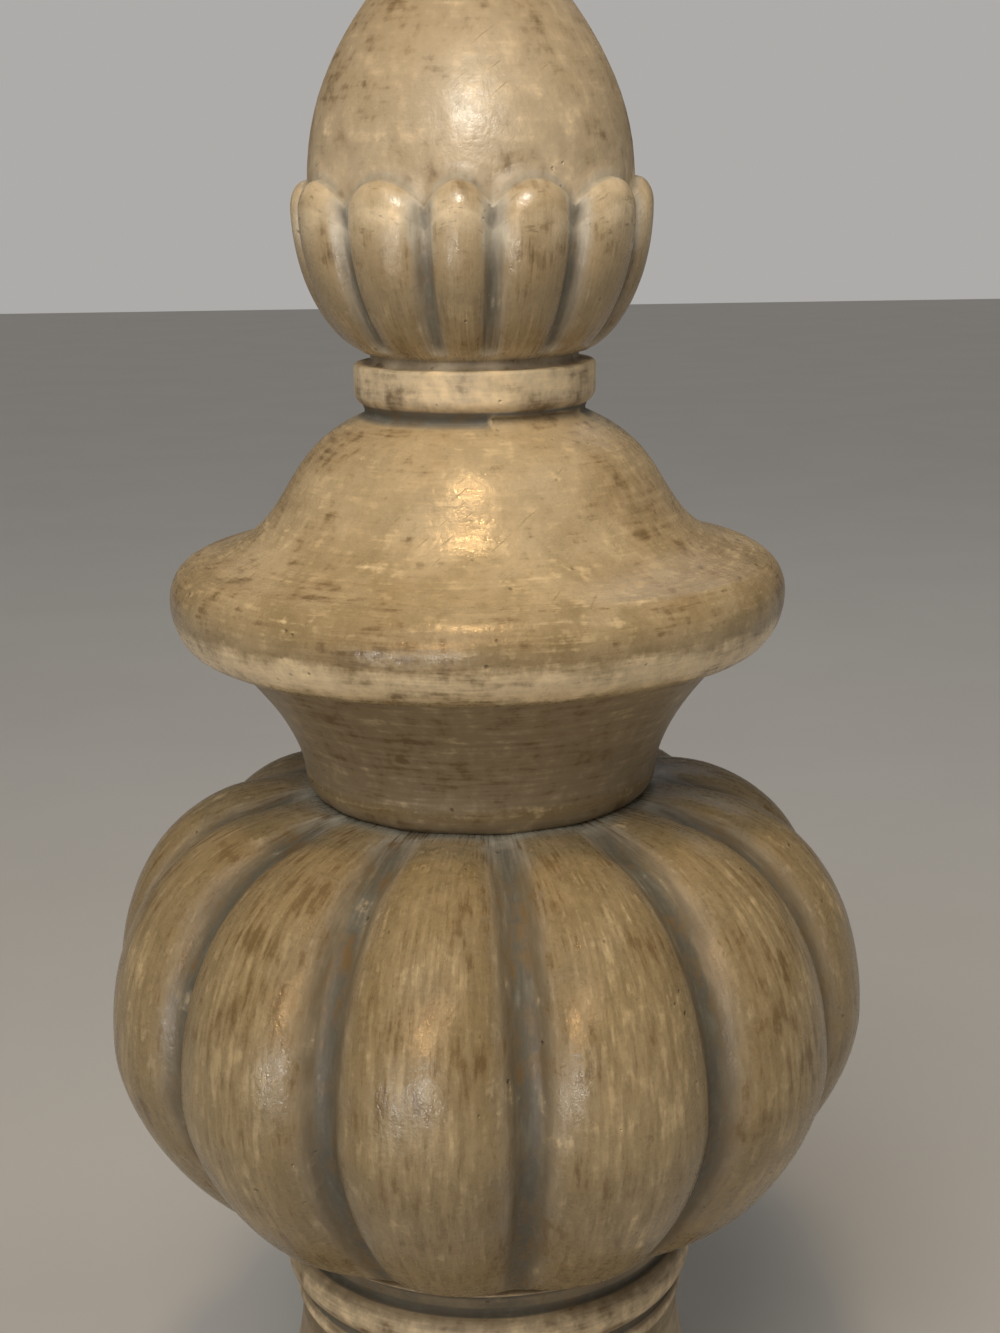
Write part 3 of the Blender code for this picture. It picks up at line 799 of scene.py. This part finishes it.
# Pits and short slanting scratches.
slanted = bench.node("ShaderNodeMapping", {"vector_type": "POINT"}, {
    "Vector": place, "Rotation": (0.0, math.radians(SCRATCH_SLANT_DEG), 0.0)})
scratch = noise(slanted, (70.0, 70.0, 1300.0), shift=31.0, detail=2.0).rise(0.64, 0.74)
scratch = scratch * cloud.rise(0.52, 0.66)
colour = blend(scratch * (1.0 - lobed) * SCRATCH_COVER, colour, BROWN_GLAZE)
cells = bench.node("ShaderNodeTexVoronoi", {"feature": "F1"}, {
    "Vector": bench.vector("MULTIPLY_ADD", place, (210.0, 210.0, 210.0), (4.0, 9.0, 2.0)),
    "Scale": 1.0, "Randomness": 1.0}, "Distance")
pits = (1.0 - cells.rise(0.05, 0.16)) * patch.rise(0.56, 0.66)
colour = blend(pits * PIT_COVER, colour, PIT_BROWN)

# The washed turnings are the dullest. The bump follows the flecks and brush marks.
roughness = PAINT_ROUGHNESS + (1.0 - lobed) * washing * WASH_ROUGHNESS
roughness = roughness + (streak - 0.5) * 0.35 + (speckle - 0.5) * 0.40 + blue * 0.18 + grey * 0.10
relief = streak * 0.10 + fleck * 0.40 + speckle * 0.14 + grain * 0.05 - pits * 0.7 - scratch * 0.15
bumped = bench.node("ShaderNodeBump", {}, {
    "Strength": BUMP_STRENGTH, "Distance": BUMP_DISTANCE, "Height": relief})
shader = bench.node("ShaderNodeBsdfPrincipled", {}, {
    "Base Color": colour, "Roughness": roughness, "Normal": bumped,
    "Specular IOR Level": 0.5, "Coat Weight": COAT_WEIGHT, "Coat Roughness": COAT_ROUGHNESS})
bench.node("ShaderNodeOutputMaterial", {}, {0: shader})

# The tree runs on the outline, and its result becomes the plain mesh that stands for the casting.
maker = bpy.data.objects.new("outline", line_mesh)
bpy.context.scene.collection.objects.link(maker)
carving = maker.modifiers.new("carving", "NODES")
carving.node_group = tree
for name, kind, value in INPUTS:
    if value is not None:
        carving[input_sockets[name].identifier] = value
carving[input_sockets["Finish"].identifier] = finish
evaluated = maker.evaluated_get(bpy.context.evaluated_depsgraph_get())
casting = bpy.data.objects.new("finial_casting", bpy.data.meshes.new_from_object(evaluated))
casting.data.name = "finial_casting"
bpy.data.objects.remove(maker)
bpy.context.scene.collection.objects.link(casting)
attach(casting, "root")
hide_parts("finial")

# The table top is a plain pale board with a soft, barely mottled surface.
FLOOR_REACH = 6.0
FLOOR_PALE = (0.62, 0.612, 0.60, 1.0)
FLOOR_SHADE = (0.60, 0.592, 0.58, 1.0)
floor_mesh = bpy.data.meshes.new("floor")
floor_mesh.from_pydata([(-FLOOR_REACH, -FLOOR_REACH, 0.0), (FLOOR_REACH, -FLOOR_REACH, 0.0),
                        (FLOOR_REACH, FLOOR_REACH, 0.0), (-FLOOR_REACH, FLOOR_REACH, 0.0)],
                       [], [(0, 1, 2, 3)])
floor = bpy.data.objects.new("floor", floor_mesh)
bpy.context.scene.collection.objects.link(floor)
board = bpy.data.materials.new("pale_board")
board.use_nodes = True
board.node_tree.nodes.clear()
bench = Bench(board.node_tree)
place = bench.node("ShaderNodeTexCoord", {}, {}, "Object")
mottle = noise(place, (6.0, 6.0, 6.0), shift=0.0, detail=3.0)
shader = bench.node("ShaderNodeBsdfPrincipled", {}, {
    "Base Color": blend(mottle.rise(0.3, 0.7), FLOOR_PALE, FLOOR_SHADE),
    "Roughness": 0.75 + mottle * 0.1, "Specular IOR Level": 0.3})
bench.node("ShaderNodeOutputMaterial", {}, {0: shader})
floor_mesh.materials.append(board)

# Soft studio light from above on the left, and a weak light behind. Form lamps light the shape and
# leave no highlight. Shine lamps only leave the small warm and white highlights. Each row is a name,
# a kind, the height it aims at, azimuth and elevation, distance, size, power, colour and use.
SUN_ANGLE_DEG = 36.0
SPOT_CONE_DEG = 7.5
LAMPS = (("sun", "SUN", 0.33, -20.0, 52.0, 2.0, 0.0, 1.0, (1.0, 0.96, 0.90), "form"),
         ("key", "AREA", 0.33, -20.0, 38.0, 1.1, 0.80, 4.2, (1.0, 0.91, 0.77), "form"),
         ("ceiling", "AREA", 0.33, -7.0, 63.0, 1.0, 0.10, 2.4, (1.0, 0.72, 0.40), "form"),
         ("bell shine", "SPOT", 0.225, -7.0, 62.0, 1.0, 0.09, 26.0, (1.0, 0.60, 0.25), "shine"),
         ("bud shine", "SPOT", 0.42, 0.0, 30.0, 0.9, 0.06, 40.0, (1.0, 0.97, 0.86), "shine"),
         ("left shine", "AREA", 0.33, -15.0, 12.5, 1.0, 0.08, 2.2, (1.0, 0.60, 0.28), "shine"),
         ("right shine", "AREA", 0.33, 2.0, 25.0, 1.0, 0.10, 1.2, (1.0, 0.64, 0.34), "shine"),
         ("low shine", "AREA", 0.33, -14.0, -10.0, 1.0, 0.035, 1.4, (1.0, 0.97, 0.92), "shine"),
         ("side shine", "AREA", 0.33, -33.0, -14.5, 1.0, 0.035, 1.0, (1.0, 0.97, 0.92), "shine"),
         ("fill", "AREA", 0.33, 55.0, 58.0, 1.3, 0.50, 2.4, (1.0, 0.92, 0.78), "form"),
         ("back", "AREA", 0.33, 160.0, 40.0, 1.8, 0.90, 1.3, (0.86, 0.92, 1.0), "both"))
for name, kind, aim, azimuth_deg, elevation_deg, distance, size, power, colour, use in LAMPS:
    lamp = bpy.data.lights.new(name, kind)
    if kind == "SUN":
        lamp.angle = math.radians(SUN_ANGLE_DEG)
    elif kind == "SPOT":
        lamp.spot_size = math.radians(SPOT_CONE_DEG)
        lamp.spot_blend = 1.0
        lamp.shadow_soft_size = size / 2
    else:
        lamp.size = size
    lamp.energy = power
    lamp.color = colour
    holder = bpy.data.objects.new(name, lamp)
    holder.matrix_world = (Matrix.Translation((0.0, 0.0, aim))
                           @ Matrix.Rotation(math.radians(azimuth_deg), 4, "Z")
                           @ Matrix.Rotation(math.radians(90.0 - elevation_deg), 4, "X")
                           @ Matrix.Translation((0.0, 0.0, distance)))
    holder.visible_glossy = use != "form"
    holder.visible_diffuse = use != "shine"
    bpy.context.scene.collection.objects.link(holder)

# The room behind is a plain light grey that adds only a little light.
WORLD_GREY = (0.53, 0.515, 0.50, 1.0)
WORLD_LIGHT = 0.14
WORLD_SEEN = 0.80
world = bpy.data.worlds.new("studio")
world.use_nodes = True
world.node_tree.nodes.clear()
bench = Bench(world.node_tree)
seen = bench.node("ShaderNodeLightPath", {}, {}, "Is Camera Ray")
sky = bench.node("ShaderNodeBackground", {}, {
    "Color": WORLD_GREY, "Strength": seen * (WORLD_SEEN - WORLD_LIGHT) + WORLD_LIGHT})
bench.node("ShaderNodeOutputWorld", {}, {0: sky})
bpy.context.scene.world = world
